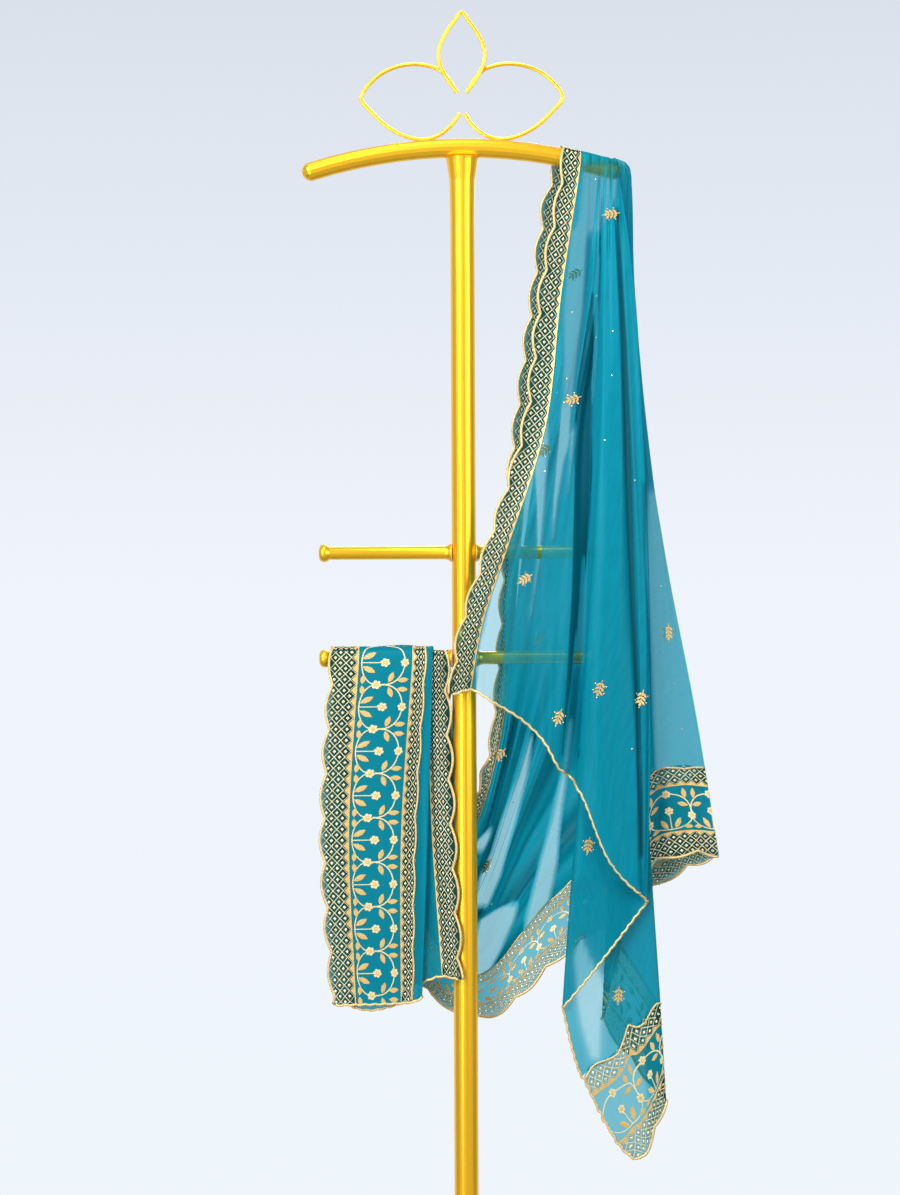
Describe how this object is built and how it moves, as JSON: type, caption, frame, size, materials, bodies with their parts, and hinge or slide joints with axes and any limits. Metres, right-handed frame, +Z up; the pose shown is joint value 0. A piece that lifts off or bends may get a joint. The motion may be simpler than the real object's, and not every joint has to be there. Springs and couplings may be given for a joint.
{
  "type": "dupatta stole on a garment stand",
  "caption": "Sheer teal dupatta stole with gold-embroidered scalloped borders, draped over a gold garment stand with side arms and a wire lotus on top.",
  "frame": {"origin": "centre of the underside of the stand's base, on the pole's axis", "axes": "+Z up along the pole, +X to the viewer's right along the top bar, -Y towards the viewer"},
  "size_m": [0.5508, 0.36, 1.6996],
  "materials": {
    "gold_paint": "satin gold paint on steel tube",
    "teal_georgette": "sheer crinkled georgette",
    "embroidered_net": "gold embroidery on teal net"
  },
  "bodies": {
    "root": {"stand_base": "gold_paint", "stand_hub": "gold_paint", "stand_pole": "gold_paint", "stand_top_bar": "gold_paint", "lotus_left_petal": "gold_paint", "lotus_middle_petal": "gold_paint", "lotus_right_petal": "gold_paint", "lower_left_arm": "gold_paint", "lower_right_arm": "gold_paint", "upper_left_arm": "gold_paint", "upper_right_arm": "gold_paint", "front_fall": "teal_georgette", "back_swag": "teal_georgette", "arm_fall": "teal_georgette", "front_narrow_border": "embroidered_net", "front_wide_border": "embroidered_net", "swag_narrow_border": "embroidered_net", "swag_wide_border": "embroidered_net", "arm_narrow_border": "embroidered_net", "arm_wide_border": "embroidered_net"}
  },
  "joints": []
}
